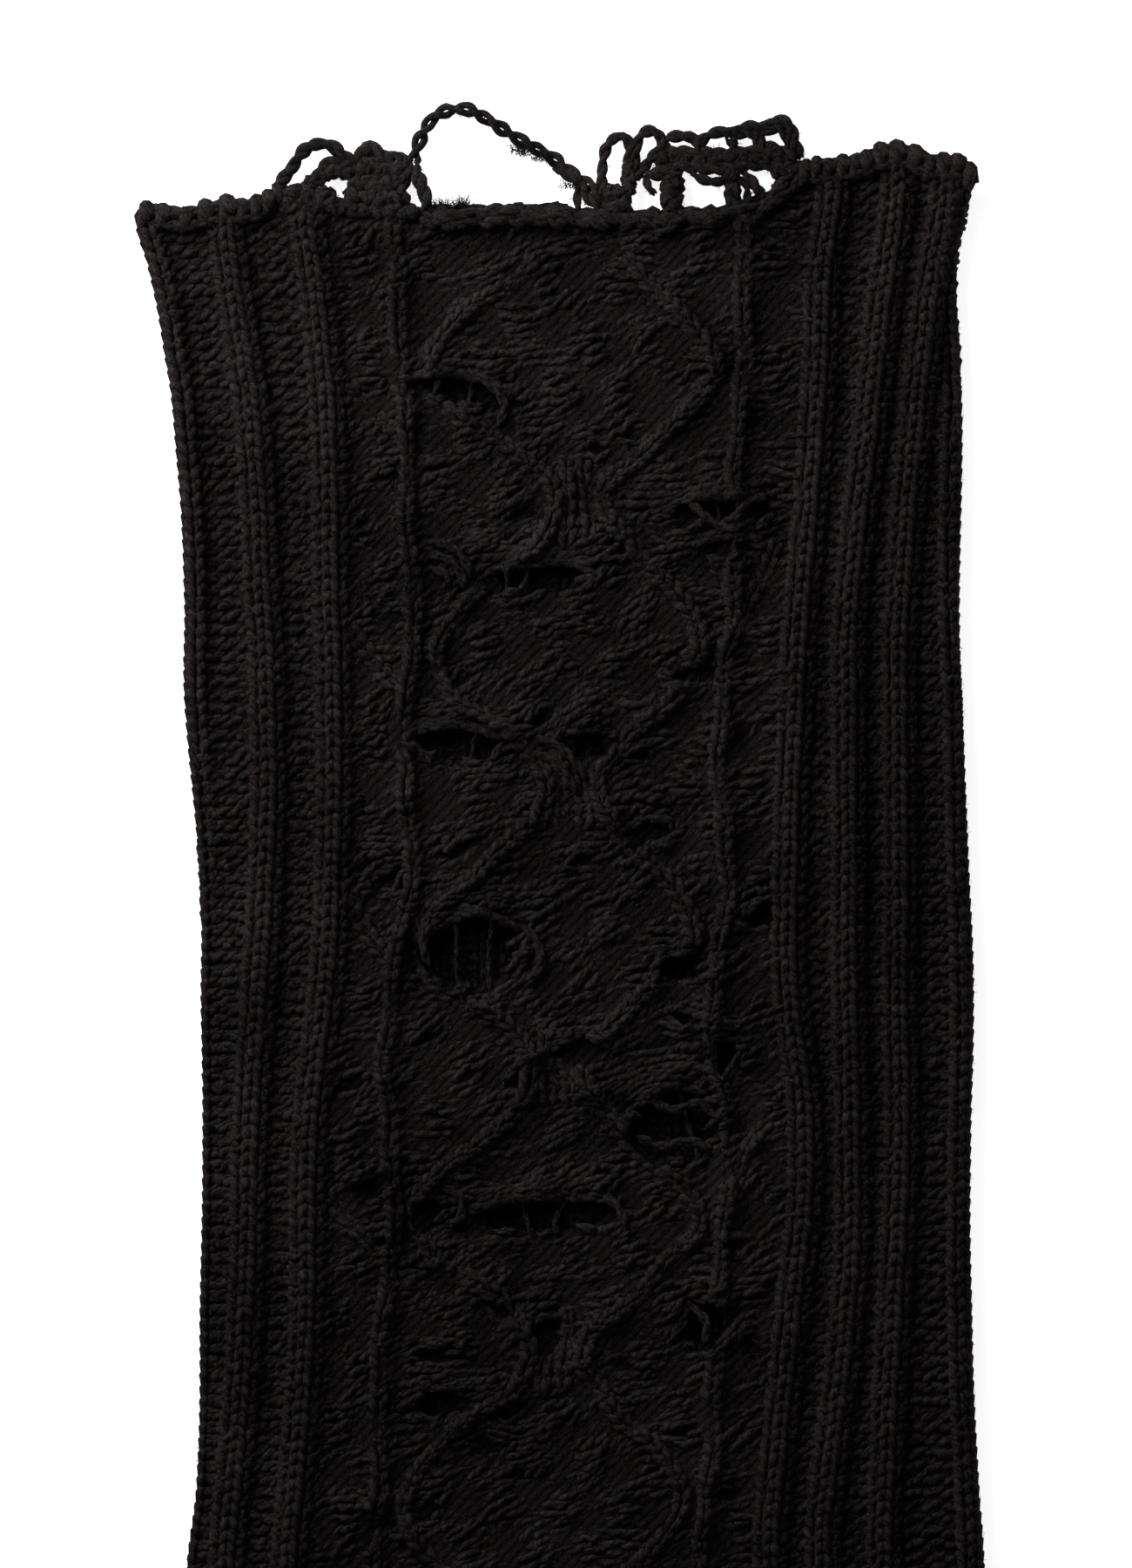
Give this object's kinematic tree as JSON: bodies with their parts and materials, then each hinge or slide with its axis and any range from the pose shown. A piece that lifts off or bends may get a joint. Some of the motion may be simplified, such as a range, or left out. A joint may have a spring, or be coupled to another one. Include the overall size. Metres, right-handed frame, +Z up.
{
  "type": "leg warmer",
  "caption": "Chunky ribbed wool leg warmer laid flat, a knitted tube with a torn lace panel down the front and a frayed, looped top edge.",
  "frame": {"origin": "middle of the leg warmer's box, on the surface that it lies on", "axes": "+Y along the leg towards the frayed top edge, +X across the leg, +Z up through the two layers of cloth"},
  "size_m": [0.186, 0.4497, 0.0089],
  "materials": {
    "rib_wool": "matt brushed wool, near black brown",
    "back_wool": "matt brushed wool, near black brown",
    "edge_wool": "matt brushed wool, near black brown",
    "frayed_wool": "matt plied wool yarn, near black brown"
  },
  "bodies": {
    "root": {"front_panel": "rib_wool", "back_panel": "back_wool", "bind_off_left": "edge_wool", "bind_off_right": "edge_wool", "bind_off_back": "edge_wool", "frayed_edge": "frayed_wool", "cast_on_front": "edge_wool", "cast_on_back": "edge_wool"}
  },
  "joints": []
}
